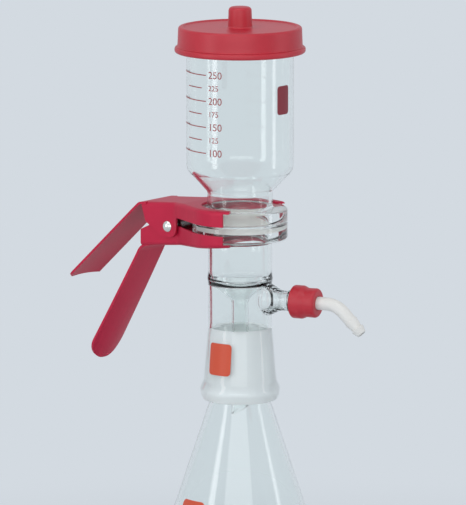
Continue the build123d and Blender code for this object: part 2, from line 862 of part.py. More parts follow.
# ---- Lower lever: its plate falls from the jaws to the handle ----
contact_x = flange_r * math.cos(math.radians(plate_end_angle))
lower_touch_z = base_flange_z - jaw_touch


def lower_plate_z(x, depth=0.0):
    """Level of the lower plate's upper face, or of a line that deep inside it."""
    thick = depth / math.cos(math.radians(lower_slope))
    return lower_touch_z - (contact_x - x) * slope(lower_slope) - thick


lower_bend_z = lower_plate_z(bend_x, sheet)
lower_wall_z = lower_plate_z(contact_x) + lower_wall_h - sheet
inner_ear_front_x = hinge_x + inner_ear_r
inner_ear_top_z = hinge_z + inner_ear_r
rear_wall_z = hinge_z - rear_wall_drop
lower_fork_r = stem_r + lower_fork_room
lower_flare_x = hinge_x + lower_flare
lower_floor_end = bend_x + lower_bend_r * slope((lower_handle_slope - lower_slope) / 2)

with BuildPart() as lower_core:
    with BuildSketch(Plane.XY.offset(lower_bend_z - 2 * blank)):
        add(fork_plan(lower_flare_x, inner_half_width - sheet, jaw_wall_r - sheet, flare_r + sheet))
    extrude(amount=span)
    with BuildSketch(Plane.XZ):
        with BuildLine():
            Polyline(
                (front_x, lower_plate_z(front_x)),
                (front_x, inner_ear_top_z + blank),
                (rear_x, inner_ear_top_z + blank),
                (rear_x, lower_plate_z(rear_x)),
                close=True,
            )
        make_face()
    extrude(amount=span, both=True, mode=Mode.INTERSECT)

with BuildPart() as clamp_lower_lever:
    with BuildSketch(Plane.XY.offset(lower_bend_z - 2 * blank)):
        add(fork_plan(lower_flare_x, inner_half_width, jaw_wall_r, flare_r))
    extrude(amount=span)
    with BuildSketch(Plane.XZ):
        with BuildLine():
            outline(
                [
                    (front_x, lower_plate_z(front_x, sheet), 0),
                    (front_x, lower_wall_z, 0),
                    (inner_ear_front_x, lower_wall_z, 0.8),
                    (inner_ear_front_x, inner_ear_top_z, 3.0),
                    (hinge_x - inner_ear_back, inner_ear_top_z, inner_ear_r - corner_short),
                    (bend_x, rear_wall_z, 1.0),
                    (bend_x, lower_bend_z, 0),
                ]
            )
        make_face()
    extrude(amount=span, both=True, mode=Mode.INTERSECT)
    low_faces = clamp_lower_lever.faces().filter_by(lambda face: face.normal_at().Z < -0.9)
    fold_edges = [
        edge
        for edge in low_faces.edges()
        if edge.center().X > bend_x + past and abs(edge.center().Y) > past
    ]
    fillet(fold_edges, radius=fold_r)
    add(lower_core.part, mode=Mode.SUBTRACT)
    with BuildSketch(Plane.XY.offset(lower_bend_z - 2 * blank)):
        with Locations((span / 2, 0)):
            Rectangle(span, 2 * lower_fork_r)
        Circle(lower_fork_r)
    extrude(amount=span, mode=Mode.SUBTRACT)
    with BuildSketch(Plane.XY.offset(lower_bend_z - 2 * blank)):
        add(mouth_wedge(plate_end_angle))
    extrude(amount=span, mode=Mode.SUBTRACT)
    with BuildSketch(Plane.XY.offset(lower_touch_z)):
        add(mouth_wedge(wall_end_angle))
    extrude(amount=span, mode=Mode.SUBTRACT)
    with BuildSketch(rivet_axis_plane):
        Circle(rivet_hole_r)
    extrude(amount=span, both=True, mode=Mode.SUBTRACT)
    with BuildSketch(Plane.XZ):
        with BuildLine():
            Polyline(
                (rear_x, lower_bend_z - sheet),
                (lower_floor_end, lower_bend_z - sheet),
                (lower_floor_end, lower_plate_z(lower_floor_end) + sheet / 2),
                (rear_x, lower_plate_z(lower_floor_end) + sheet / 2),
                close=True,
            )
        make_face()
    extrude(amount=inner_half_width - sheet, both=True, mode=Mode.SUBTRACT)
    add(
        handle(
            lower_bend_z,
            lower_slope,
            lower_handle_slope,
            lower_handle_length,
            lower_bend_r,
            lower_gutter,
            lower_half_width,
            lower_end_half_width,
            lower_end_r,
            -1,
        )
    )
clamp_lower_lever.part.label = "clamp_lower_lever"

# ---- Rivet: a shank with two domed heads ----
head_y = lever_half_width + rivet_clearance
head_r = rivet_head_d / 2
dome_y = head_y + rivet_head_edge

with BuildPart() as pivot_rivet:
    with BuildSketch(Plane(origin=(hinge_x, 0, hinge_z), x_dir=(0, 1, 0), z_dir=(1, 0, 0))):
        with BuildLine():
            Line((-head_y - rivet_head_h, 0), (head_y + rivet_head_h, 0))
            TangentArc((head_y + rivet_head_h, 0), (dome_y, head_r), tangent=(0, 1))
            Polyline(
                (dome_y, head_r),
                (head_y, head_r),
                (head_y, rivet_d / 2),
                (-head_y, rivet_d / 2),
                (-head_y, head_r),
                (-dome_y, head_r),
            )
            TangentArc((-head_y - rivet_head_h, 0), (-dome_y, head_r), tangent=(0, 1))
        make_face()
    revolve(axis=Axis((hinge_x, 0, hinge_z), (0, 1, 0)))
pivot_rivet.part.label = "pivot_rivet"

# ---- Spring: a coil on the rivet and two straight legs towards the handles ----
coil_start = math.radians(upper_leg_angle - 90)
coil_turns = (360 * coil_loops - (lower_leg_angle - upper_leg_angle + 180)) / 360
coil_length = coil_turns * coil_pitch
coil_plane = Plane(
    origin=(hinge_x, -coil_length / 2, hinge_z),
    x_dir=(math.cos(coil_start), 0, math.sin(coil_start)),
    z_dir=(0, 1, 0),
)
coil_wire = coil_plane * Helix(coil_pitch, coil_length, coil_d / 2)

with BuildPart() as clamp_spring:
    with BuildSketch(Plane(origin=coil_wire @ 0, z_dir=coil_wire % 0)):
        Circle(wire_d / 2)
    sweep(path=coil_wire, is_frenet=True)
    with BuildSketch(Plane(origin=coil_wire @ 0, z_dir=(coil_wire % 0) * -1)):
        Circle(wire_d / 2)
    extrude(amount=upper_leg)
    with BuildSketch(Plane(origin=coil_wire @ 1, z_dir=coil_wire % 1)):
        Circle(wire_d / 2)
    extrude(amount=lower_leg)
clamp_spring.part.label = "clamp_spring"

# ---- Write one file for each piece ----
pieces = [
    lid,
    funnel,
    membrane_filter,
    frit_disc,
    filter_base,
    joint_socket,
    drip_tube,
    side_arm,
    flask,
    side_arm_cap,
    cap_seal,
    hose_connector,
    clamp_upper_lever,
    clamp_lower_lever,
    pivot_rivet,
    clamp_spring,
]
os.makedirs("parts", exist_ok=True)
for piece in pieces:
    export_step(piece.part, f"parts/{piece.part.label}.step")
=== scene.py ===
"""Looks of the vacuum filtration unit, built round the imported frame.

Sizes are in millimetres, apart from the lamps and the nodes of materials, which are in metres.
Levels are counted from the pieces of the frame. Blown glass, the lid, the membrane and the
spring's wire are surfaces worked out with numpy: an outline turned about a line, or a round
section carried along a path. The prints are thin fields of enamel on the glass. The frit, the
clamp's sheet and rivet, the cap, its seal and the hose connector are the frame's own pieces,
with the materials of the real ones.
"""

import math

import bpy
import bmesh
import numpy as np
from mathutils import Matrix, Vector


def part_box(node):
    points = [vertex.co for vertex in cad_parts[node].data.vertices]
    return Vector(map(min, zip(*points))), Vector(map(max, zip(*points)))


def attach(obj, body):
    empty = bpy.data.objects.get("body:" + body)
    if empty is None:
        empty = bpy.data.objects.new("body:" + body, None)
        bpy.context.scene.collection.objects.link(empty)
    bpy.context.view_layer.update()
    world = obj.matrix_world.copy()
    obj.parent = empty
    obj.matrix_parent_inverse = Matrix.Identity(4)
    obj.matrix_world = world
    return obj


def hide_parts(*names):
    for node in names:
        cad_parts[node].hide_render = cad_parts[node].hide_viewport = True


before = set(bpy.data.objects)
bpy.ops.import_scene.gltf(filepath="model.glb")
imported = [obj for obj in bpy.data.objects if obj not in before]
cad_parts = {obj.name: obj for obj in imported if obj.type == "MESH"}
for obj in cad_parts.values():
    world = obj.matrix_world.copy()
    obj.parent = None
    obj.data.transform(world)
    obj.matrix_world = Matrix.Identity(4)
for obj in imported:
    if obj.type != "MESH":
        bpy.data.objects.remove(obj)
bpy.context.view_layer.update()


def low(node):
    """Lowest corner of a piece of the frame, in millimetres."""
    return 1000 * np.array(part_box(node)[0])


def high(node):
    """Highest corner of a piece of the frame, in millimetres."""
    return 1000 * np.array(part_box(node)[1])


# ---- Levels and places, counted from the frame ----
MOUTH = high("flask")[2]
DRIP_TIP = low("drip_tube")[2]
SEAM = low("membrane_filter")[2]  # ground face of the base's flange
FUNNEL_FOOT = low("funnel")[2]
RIM = high("funnel")[2]
LID_TOP = high("lid")[2]
LID_FOOT = low("lid")[2]
HINGE = (low("pivot_rivet") + high("pivot_rivet")) / 2
UP = np.array([0.0, 0.0, 1.0])

# ---- Side arm's line ----
ARM_Z = SEAM - 47.6
ARM_ANGLE = math.radians(13.0)  # from +X
ARM_OUT = np.array([math.cos(ARM_ANGLE), math.sin(ARM_ANGLE), 0.0])
ARM_SIDE = np.array([-math.sin(ARM_ANGLE), math.cos(ARM_ANGLE), 0.0])

# ---- Ground joint: size 40, and a taper of 1 in 10 on the diameter ----
JOINT_R = 20.0  # wide end of the cone
JOINT_FOOT = MOUTH - 40.0
JOINT_TAPER = 0.05  # radius lost over each unit of height
JOINT_FILM = 0.06  # room for grease between the two cones

# ---- Ground flanges of the base and the funnel ----
FLANGE_R = 29.7
FLANGE_EDGE = 1.6  # rounding of the edge away from the ground face
BEVEL = 0.6  # of both ground faces
LEVEL = 0.9  # how far up or down a face looks that counts as level, out of 1
FACE_DEPTH = 0.1  # how far from a ground face's level its own faces may lie


def joint_radius(z, film=0.0):
    """Radius of the ground cone at a height.

    It is the foot's radius, less the taper times the height over the foot, plus the film.
    """
    return JOINT_R - (z - JOINT_FOOT) * JOINT_TAPER + film


# ---- Surfaces ----
def rounded(rows, steps=7):
    """Corners of a closed outline turned into arcs.

    rows are (across, up, radius). Each arc leaves its corner at radius times the tangent of half
    the turn, and is the rational quadratic curve whose middle weight is the cosine of half the
    turn, which is an exact arc of a circle.
    """
    table = np.array(rows, float)
    corner, radius = table[:, :2], table[:, 2]
    into = corner - np.roll(corner, 1, axis=0)
    out = np.roll(corner, -1, axis=0) - corner
    into /= np.linalg.norm(into, axis=1)[:, None]
    out /= np.linalg.norm(out, axis=1)[:, None]
    half = np.arccos(np.clip((into * out).sum(axis=1), -1, 1)) / 2
    cut = (radius * np.tan(half))[:, None]
    start, end, weight = corner - cut * into, corner + cut * out, np.cos(half)[:, None, None]
    s = np.linspace(0, 1, steps)[None, :, None]
    first, middle, last = (1 - s) ** 2, 2 * s * (1 - s) * weight, s**2
    arcs = first * start[:, None] + middle * corner[:, None] + last * end[:, None]
    points = (arcs / (first + middle + last)).reshape(-1, 2)
    gap = np.linalg.norm(points - np.roll(points, 1, axis=0), axis=1)
    return points[gap > 1e-4]


def refined(points, longest=4.0):
    """A closed outline whose long straight runs are divided.

    A run gets its length over the longest step, rounded up, as many equal steps.
    """
    following = np.roll(points, -1, axis=0)
    length = np.linalg.norm(following - points, axis=1)
    steps = np.maximum(1, np.ceil(length / longest)).astype(int)
    which = np.repeat(np.arange(len(points)), steps)
    within = np.arange(steps.sum()) - np.repeat(np.cumsum(steps) - steps, steps)
    share = (within / steps[which])[:, None]
    return points[which] * (1 - share) + following[which] * share


def finished(name, mesh, sharp):
    """Merges doubled points, turns faces outwards, smooths within the angle and links the piece."""
    work = bmesh.new()
    work.from_mesh(mesh)
    bmesh.ops.remove_doubles(work, verts=work.verts, dist=2e-6)
    bmesh.ops.dissolve_degenerate(work, edges=work.edges, dist=1e-7)
    bmesh.ops.recalc_face_normals(work, faces=work.faces)
    work.to_mesh(mesh)
    work.free()
    mesh.shade_smooth()
    mesh.set_sharp_from_angle(angle=math.radians(sharp))
    piece = bpy.data.objects.new(name, mesh)
    bpy.context.scene.collection.objects.link(piece)
    return piece


def mesh_from(name, grid, closed_u=True, closed_v=True, sharp=32):
    """A mesh over a grid of points (u, v, xyz) in millimetres, joined end to end where closed."""
    rows, columns = grid.shape[:2]
    index = np.arange(rows * columns).reshape(rows, columns)
    if closed_u:
        index = np.vstack([index, index[:1]])
    if closed_v:
        index = np.hstack([index, index[:, :1]])
    faces = np.stack([index[:-1, :-1], index[1:, :-1], index[1:, 1:], index[:-1, 1:]], axis=-1)
    mesh = bpy.data.meshes.new(name)
    mesh.from_pydata((grid.reshape(-1, 3) / 1000).tolist(), [], faces.reshape(-1, 4).tolist())
    return finished(name, mesh, sharp)


def capped(name, grid, sharp=32):
    """A mesh over a grid whose two end rows are rings, each closed with a point at its mean."""
    ends = np.repeat(grid[[0, -1]].mean(axis=1)[:, None], grid.shape[1], axis=1)
    return mesh_from(name, np.vstack([ends[:1], grid, ends[1:]]), closed_u=False, sharp=sharp)


def turned(name, rows, origin=(0, 0, 0), along=UP, across=(1, 0, 0), parts=160, longest=4.0):
    """A closed outline turned about a line.

    rows are (distance from the line, place along it, corner radius). A point is
    origin + place * along + distance * (cos a * across + sin a * third), for a round the circle,
    where third is along crossed with across.
    """
    outline = refined(rounded(rows), longest)
    angle = np.linspace(0, 2 * math.pi, parts, endpoint=False)
    along, across = np.array(along, float), np.array(across, float)
    third = np.cross(along, across)
    ring = np.cos(angle)[:, None] * across + np.sin(angle)[:, None] * third
    grid = (
        np.array(origin, float)
        + outline[:, None, 1, None] * along
        + outline[:, None, 0, None] * ring[None]
    )
    return mesh_from(name, grid)


def turned_on_arm(name, rows):
    """A closed outline turned about the side arm's line, with finer steps than the large glass."""
    line = {"origin": (0, 0, ARM_Z), "along": ARM_OUT, "across": ARM_SIDE}
    return turned(name, rows, **line, parts=96, longest=1.5)


def carried(name, path, radius, reference, parts=24):
    """A round section carried along a path: each ring stands across the path's direction.

    The section's first axis is the path's direction crossed with the reference, and its second
    is the direction crossed with the first. The ends are closed with a point.
    """
    direction = np.gradient(path, axis=0)
    direction /= np.linalg.norm(direction, axis=1)[:, None]
    first = np.cross(direction, reference)
    first /= np.linalg.norm(first, axis=1)[:, None]
    second = np.cross(direction, first)
    angle = np.linspace(0, 2 * math.pi, parts, endpoint=False)[None, :, None]
    ring = np.cos(angle) * first[:, None] + np.sin(angle) * second[:, None]
    return capped(name, path[:, None] + radius * ring, sharp=40)


def carved(piece, tool, operation):
    """Joins or cuts the piece with a tool, keeps the result and removes the tool."""
    step = piece.modifiers.new(tool.name, "BOOLEAN")
    step.object, step.operation, step.solver = tool, operation, "EXACT"
    view_layer = bpy.context.evaluated_depsgraph_get()
    result = bpy.data.meshes.new_from_object(piece.evaluated_get(view_layer))
    piece.modifiers.clear()
    piece.data = result
    bpy.data.objects.remove(tool)


# ---- Materials ----
def colour(code):
    """sRGB hex to linear, with full alpha.

    A channel up to 0.04045 is divided by 12.92. Above that, (c + 0.055) / 1.055 is raised to 2.4.
    """
    srgb = np.array([int(code[i : i + 2], 16) for i in (0, 2, 4)]) / 255
    linear = np.where(srgb <= 0.04045, srgb / 12.92, ((srgb + 0.055) / 1.055) ** 2.4)
    return (*linear.tolist(), 1.0)


def every(spacing):
    """Scale of a pattern whose features are that many millimetres apart: 1000 over the spacing."""
    return 1000 / spacing


def node(tree, kind, settings=None, links=None, ramp=None, into=None, **values):
    """Adds a node: settings are its own properties, values its sockets, links what feeds them.

    ramp holds the two end colours of a colour ramp, and into is the socket that the node's first
    output feeds. A socket's name is written with _ for a space.
    """
    made = tree.nodes.new(kind)
    for key, value in (settings or {}).items():
        setattr(made, key, value)
    for key, value in values.items():
        made.inputs[key.replace("_", " ")].default_value = value
    for key, value in (links or {}).items():
        tree.links.new(value, made.inputs[key])
    if ramp:
        for stop, code in zip(made.color_ramp.elements, ramp):
            stop.color = colour(code)
    if into:
        tree.links.new(made.outputs[0], into)
    return made


def material(name, **values):
    """A new material, its tree, its Principled shader with those values, and Object coordinates."""
    made = bpy.data.materials.new(name)
    made.use_nodes = True
    tree = made.node_tree
    shader = tree.nodes["Principled BSDF"]
    for key, value in values.items():
        shader.inputs[key.replace("_", " ")].default_value = value
    return made, tree, shader, node(tree, "ShaderNodeTexCoord").outputs["Object"]


def lit_through(tree, shader, passed):
    """Lets rays from lamps through glass, tinted, so that what it encloses is lit."""
    clear = node(tree, "ShaderNodeBsdfTransparent", Color=colour(passed))
    path = node(tree, "ShaderNodeLightPath")
    node(
        tree,
        "ShaderNodeMixShader",
        links={0: path.outputs["Is Shadow Ray"], 1: shader.outputs[0], 2: clear.outputs[0]},
        into=tree.nodes["Material Output"].inputs["Surface"],
    )


def clouded(name, dark, light, spacing, detail, **values):
    """A material whose colour wanders between two tones, in clouds that many millimetres apart."""
    made, tree, shader, place = material(name, **values)
    clouds = node(
        tree, "ShaderNodeTexNoise", links={"Vector": place}, Scale=every(spacing), Detail=detail
    )
    node(
        tree,
        "ShaderNodeValToRGB",
        links={"Fac": clouds.outputs["Fac"]},
        ramp=(dark, light),
        into=shader.inputs["Base Color"],
    )
    return made


BOROSILICATE_IOR = 1.474


def borosilicate():
    """Borosilicate glass 3.3, blown and fire-polished.

    Clear, with a surface that is smooth but drawn: the wall wanders by a few hundredths over
    22 mm, more slowly along the unit's axis, which bends the highlights slightly.
    """
    made, tree, shader, place = material(
        "blown_borosilicate_glass",
        Base_Color=colour("FAFDFC"),
        Transmission_Weight=1.0,
        IOR=BOROSILICATE_IOR,
        Roughness=0.0,
    )
    drawn = node(tree, "ShaderNodeMapping", links={"Vector": place}, Scale=(1, 1, 0.4))
    waves = node(
        tree, "ShaderNodeTexNoise", links={"Vector": drawn.outputs[0]}, Scale=every(22), Detail=1
    )
    node(
        tree,
        "ShaderNodeBump",
        links={"Height": waves.outputs["Fac"]},
        into=shader.inputs["Normal"],
        Strength=0.12,
        Distance=0.0002,
    )
    lit_through(tree, shader, "FDFEFE")
    return made


def ground_glass():
    """Borosilicate ground with 0.1 mm grit: a milky face that still lets light through.

    The grit is drawn at 0.25 mm so that it shows.
    """
    made, tree, shader, place = material(
        "ground_borosilicate_glass",
        Base_Color=colour("F4F7F8"),
        Transmission_Weight=0.35,
        IOR=BOROSILICATE_IOR,
        Roughness=0.55,
    )
    grit = node(tree, "ShaderNodeTexNoise", links={"Vector": place}, Scale=every(0.25), Detail=2)
    node(
        tree,
        "ShaderNodeBump",
        links={"Height": grit.outputs["Fac"]},
        into=shader.inputs["Normal"],
        Strength=0.4,
        Distance=0.0001,
    )
    lit_through(tree, shader, "E4E8EA")
    return made


def sintered_glass():
    """Glass grains of 0.2 mm sintered to a porous white disc: matt, with a speckle of pores.

    The grains are drawn at 0.4 mm so that they show.
    """
    made, tree, shader, place = material("sintered_glass", Roughness=0.85, IOR=BOROSILICATE_IOR)
    grains = node(tree, "ShaderNodeTexVoronoi", links={"Vector": place}, Scale=every(0.4))
    node(
        tree,
        "ShaderNodeValToRGB",
        links={"Fac": grains.outputs["Distance"]},
        ramp=("FAF9F6", "ECEAE4"),
        into=shader.inputs["Base Color"],
    )
    node(
        tree,
        "ShaderNodeBump",
        links={"Height": grains.outputs["Distance"]},
        into=shader.inputs["Normal"],
        Strength=0.5,
        Distance=0.0001,
    )
    return made


def cellulose_membrane():
    """Cast cellulose nitrate membrane: matt paper white with a faint mottle of 0.5 mm."""
    return clouded("cast_cellulose_membrane", "E9E8E2", "F6F5F0", 0.5, 3, Roughness=0.7)


def red_moulding():
    """Red PBT, injection moulded against a polished tool: even colour and a soft broad gloss.

    A fine orange-peel of 1.5 mm breaks the reflections, and the colour varies by a few percent
    over 16 mm.
    """
    made, tree, shader, place = material("moulded_red_pbt", Roughness=0.42, IOR=1.55)
    flow = node(tree, "ShaderNodeTexNoise", links={"Vector": place}, Scale=every(16), Detail=2)
    node(
        tree,
        "ShaderNodeValToRGB",
        links={"Fac": flow.outputs["Fac"]},
        ramp=("B3182B", "C41F33"),
        into=shader.inputs["Base Color"],
    )
    peel = node(tree, "ShaderNodeTexNoise", links={"Vector": place}, Scale=every(1.5), Detail=1)
    node(
        tree,
        "ShaderNodeBump",
        links={"Height": peel.outputs["Fac"]},
        into=shader.inputs["Normal"],
        Strength=0.1,
        Distance=0.0001,
    )
    return made


def anodised_sheet():
    """Aluminium sheet, pressed and anodised red: a satin metal sheen with fine rolling lines.

    The rolling lines run along the lever, and are drawn 0.4 mm apart so that they show.
    """
    made, tree, shader, place = material(
        "red_anodised_aluminium", Metallic=0.2, Roughness=0.45, IOR=1.4
    )
    rolled = node(tree, "ShaderNodeMapping", links={"Vector": place}, Scale=(0.02, 1, 0.02))
    lines = node(
        tree, "ShaderNodeTexNoise", links={"Vector": rolled.outputs[0]}, Scale=every(0.4), Detail=2
    )
    node(
        tree,
        "ShaderNodeValToRGB",
        links={"Fac": lines.outputs["Fac"]},
        ramp=("B4163A", "CA2045"),
        into=shader.inputs["Base Color"],
    )
    node(
        tree,
        "ShaderNodeBump",
        links={"Height": lines.outputs["Fac"]},
        into=shader.inputs["Normal"],
        Strength=0.02,
        Distance=0.0001,
    )
    return made


def bright_rivet():
    """Solid aluminium rivet, headed and tumbled: bright, with shallow dents 1.1 mm apart."""
    made, tree, shader, place = material(
        "tumbled_aluminium", Base_Color=colour("E4E3DE"), Metallic=1.0, Roughness=0.22
    )
    dents = node(tree, "ShaderNodeTexNoise", links={"Vector": place}, Scale=every(1.1), Detail=1)
    node(
        tree,
        "ShaderNodeBump",
        links={"Height": dents.outputs["Fac"]},
        into=shader.inputs["Normal"],
        Strength=0.25,
        Distance=0.0002,
    )
    return made


def spring_wire():
    """Hard-drawn steel wire, oiled: dark grey metal, mottled by its oil every 0.7 mm."""
    return clouded("drawn_spring_steel", "6E6F70", "A3A4A5", 0.7, 2, Metallic=1.0, Roughness=0.3)


def silicone_seal():
    """Moulded silicone rubber: grey-white, matt and slightly dusty, in specks of 0.8 mm."""
    return clouded("moulded_silicone", "BDBBB4", "D6D4CD", 0.8, 3, Roughness=0.6)


def white_moulding():
    """Natural white polypropylene, injection moulded: waxy satin, with flow marks every 6.5 mm."""
    return clouded(
        "moulded_white_polypropylene", "E0DFDB", "E9E8E5", 6.5, 2, Roughness=0.38, IOR=1.49
    )


def fired_enamel(name, dark, light):
    """Ceramic enamel, screen-printed and fired on: a low gloss and a slightly uneven colour.

    The marks of the screen, 0.1 mm apart, are drawn at 0.55 mm so that they show.
    """
    return clouded(name, dark, light, 0.55, 2, Roughness=0.4)


GLASS = borosilicate()
GROUND = ground_glass()
FRIT = sintered_glass()
MEMBRANE = cellulose_membrane()
RED = red_moulding()
SHEET = anodised_sheet()
RIVET = bright_rivet()
WIRE = spring_wire()
SILICONE = silicone_seal()
WHITE = white_moulding()
SCALE_ENAMEL = fired_enamel("red_brown_fired_enamel", "8E2F30", "A63B38")
PATCH_ENAMEL = fired_enamel("orange_red_fired_enamel", "C8472C", "D85433")
DARK_ENAMEL = fired_enamel("dark_red_fired_enamel", "7A1526", "8C1C2E")


def fitted(piece, body, stands_for, finish, *materials):
    """The piece gets its materials, rides on its body and stands for its piece of the frame."""
    for made in materials:
        piece.data.materials.append(made)
    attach(piece, body)
    if stands_for:
        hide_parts(stands_for)


def face_vectors(piece, kind):
    """One vector for each face, its centre or its normal."""
    flat = np.empty(3 * len(piece.data.polygons))
    piece.data.polygons.foreach_get(kind, flat)
    return flat.reshape(-1, 3)


def face_places(piece):
    """For each face its height, its distance from the unit's axis, and how far up it looks."""
    centre = 1000 * face_vectors(piece, "center")
    return centre[:, 2], np.hypot(centre[:, 0], centre[:, 1]), face_vectors(piece, "normal")[:, 2]


def ground_where(piece, picked):
    """The picked faces take the piece's second material, the ground glass."""
    piece.data.polygons.foreach_set("material_index", picked.astype(int))


# ---- Flask ----
BODY_R = 67.5  # where the body is widest, on the heel's rounding
BODY_ANGLE = math.radians(18.4)  # of the sloping side, from the vertical
HEEL_R = 8.0  # rounding from the side to the bottom
WALL = 2.3
FLOOR = 3.0
NECK_R = 18.75
NECK_STEP = 1.5  # height of the step from the neck out to the ground cone
NECK_BLEND = 18.0  # hollow curve from the neck to the side
CONE_DEPTH = 0.4  # how far inside the cone's surface its own faces may lie

# The side's line meets the bottom at SIDE_FOOT_R and the neck at SIDE_TOP.
SLOPE = math.tan(BODY_ANGLE)
SIDE_FOOT_R = BODY_R + HEEL_R * (1 / math.cos(BODY_ANGLE) + SLOPE - 1)
SIDE_TOP = (SIDE_FOOT_R - NECK_R) / SLOPE
SIDE_IN_TOP = SIDE_TOP - WALL * math.tan(BODY_ANGLE / 2)
SIDE_FOOT_IN_R = NECK_R - WALL + (SIDE_IN_TOP - FLOOR) * SLOPE

flask = turned(
    "flask_glass",
    [
        (0, 0, 0),
        (SIDE_FOOT_R, 0, HEEL_R),
        (NECK_R, SIDE_TOP, NECK_BLEND),
        (NECK_R, JOINT_FOOT - NECK_STEP, 0.8),
        (joint_radius(JOINT_FOOT), JOINT_FOOT, 0.5),
        (joint_radius(MOUTH), MOUTH, 0.8),
        (joint_radius(MOUTH) - WALL, MOUTH, 0.8),
        (NECK_R - WALL, JOINT_FOOT, 8),
        (NECK_R - WALL, SIDE_IN_TOP, NECK_BLEND + WALL),
        (SIDE_FOOT_IN_R, FLOOR, HEEL_R - WALL),
        (0, FLOOR, 0),
    ],
)
fitted(flask, "flask", "flask", "clear_glass", GLASS, GROUND)
z, reach, _ = face_places(flask)
ground_where(flask, (z > JOINT_FOOT) & (reach > joint_radius(z) - CONE_DEPTH))

# ---- Filter base: lathe-turned glass with the side arm welded on ----
STEM_R = JOINT_R
STEM_WALL = 2.2
STEM_IN_R = STEM_R - STEM_WALL
FLANGE_FOOT = SEAM - 10.2
FRIT_FOOT = SEAM - 4.6
FRIT_R = 20.0
RING_SEAL = SEAM - 35.3
RING_BEAD = 0.5  # how far the ring seal's bead stands out
RING_HALF = 3.0  # half of the bead's height
CUP_FOOT = RING_SEAL - 13.0  # of the cup that gathers what drips from the frit
CUP_WALL = 1.8
CUP_SLANT = 1.4  # upright thickness of the cup's sloping wall, over its true one
DRIP_R = 5.3
DRIP_IN_R = 4.0
SKIRT_FOOT = JOINT_FOOT - 5.0
SKIRT_R = JOINT_R + 2.8
COLLAR_R = SKIRT_R + 2.35
COLLAR_TOP = SKIRT_FOOT + 7.0
COLLAR_TAPER = 1.6  # by which the collar narrows at its foot
SKIRT_END = COLLAR_TOP + 5.0  # where the skirt begins to run out into the collar
SOCKET_TOP = MOUTH + 1.0
SOCKET_NECK = 3.0  # height over which the socket runs in to the stem
SOCKET_IN_R = 14.0  # all faces of the socket are farther out than this
SOCKET_DEPTH = 0.5  # how far outside the cone's surface the socket's own faces may lie
SOCKET_LOWEST = SKIRT_FOOT + 1.0  # the middles of its faces lie between these two heights
SOCKET_HIGHEST = SOCKET_TOP + 0.5

base = turned(
    "base_glass",
    [
        (FLANGE_R - BEVEL, SEAM, 0),
        (FLANGE_R, SEAM - BEVEL, 0),
        (FLANGE_R, FLANGE_FOOT, FLANGE_EDGE),
        (STEM_R, FLANGE_FOOT, 3),
        (STEM_R, RING_SEAL + RING_HALF, 4),
        (STEM_R + RING_BEAD, RING_SEAL, 4),
        (STEM_R, RING_SEAL - RING_HALF, 4),
        (STEM_R, MOUTH, 30),
        (SKIRT_R, SKIRT_END, 4),
        (COLLAR_R, COLLAR_TOP, 3),
        (COLLAR_R - COLLAR_TAPER, SKIRT_FOOT, 2.6),
        (joint_radius(SKIRT_FOOT, JOINT_FILM), SKIRT_FOOT, 0),
        (joint_radius(SOCKET_TOP, JOINT_FILM), SOCKET_TOP, 2),
        (STEM_IN_R, SOCKET_TOP + SOCKET_NECK, 2),
        (STEM_IN_R, RING_SEAL - CUP_WALL * CUP_SLANT, 0.8),
        (DRIP_R, CUP_FOOT - CUP_WALL / 2, 5),
        (DRIP_R, DRIP_TIP, 0),
        (DRIP_IN_R, DRIP_TIP, 0),
        (DRIP_IN_R, CUP_FOOT, 4),
        (STEM_IN_R, RING_SEAL, 3),
        (STEM_IN_R, FRIT_FOOT, 0),
        (FRIT_R, FRIT_FOOT, 0),
        (FRIT_R, SEAM, 0),
    ],
)

# ---- Side arm, and the tools that cut the base ----
PAST = 1.0  # how far a tool reaches past what it cuts
ARM_ROOT_R = 10.2
ARM_R = 6.1
ARM_BORE_R = 4.5
ARM_START = 14.5  # inside the stem, where the arm's solid begins
ARM_FLARE = STEM_R + 9.0  # where the root has run into the arm
ARM_END = STEM_R + 28.2
BORE_MOUTH_R = 6.5
BORE_START = STEM_IN_R - 4.0
BORE_FLARE = ARM_FLARE - 1.0  # where the bore's mouth has run into its narrow part
CUT_HALF = 20.0  # half the height of what hollows the arm's root
DRIP_BEVEL = math.radians(30.0)  # slope of the drip tube's cut end

arm_body = turned_on_arm(
    "arm_body",
    [
        (0, ARM_START, 0),
        (ARM_ROOT_R, ARM_START, 0),
        (ARM_ROOT_R, STEM_R, 2),
        (ARM_R, ARM_FLARE, 14),
        (ARM_R, ARM_END, 0.7),
        (0, ARM_END, 0),
    ],
)
inside_cut = turned(
    "inside_cut",
    [
        (0, ARM_Z - CUT_HALF, 0),
        (STEM_IN_R + STEM_WALL / 2, ARM_Z - CUT_HALF, 0),
        (STEM_IN_R + STEM_WALL / 2, ARM_Z + CUT_HALF, 0),
        (0, ARM_Z + CUT_HALF, 0),
    ],
)
arm_bore = turned_on_arm(
    "arm_bore",
    [
        (0, BORE_START, 0),
        (BORE_MOUTH_R, BORE_START, 0),
        (BORE_MOUTH_R, STEM_IN_R, 0),
        (ARM_BORE_R, BORE_FLARE, 12),
        (ARM_BORE_R, ARM_END + PAST, 0),
        (0, ARM_END + PAST, 0),
    ],
)


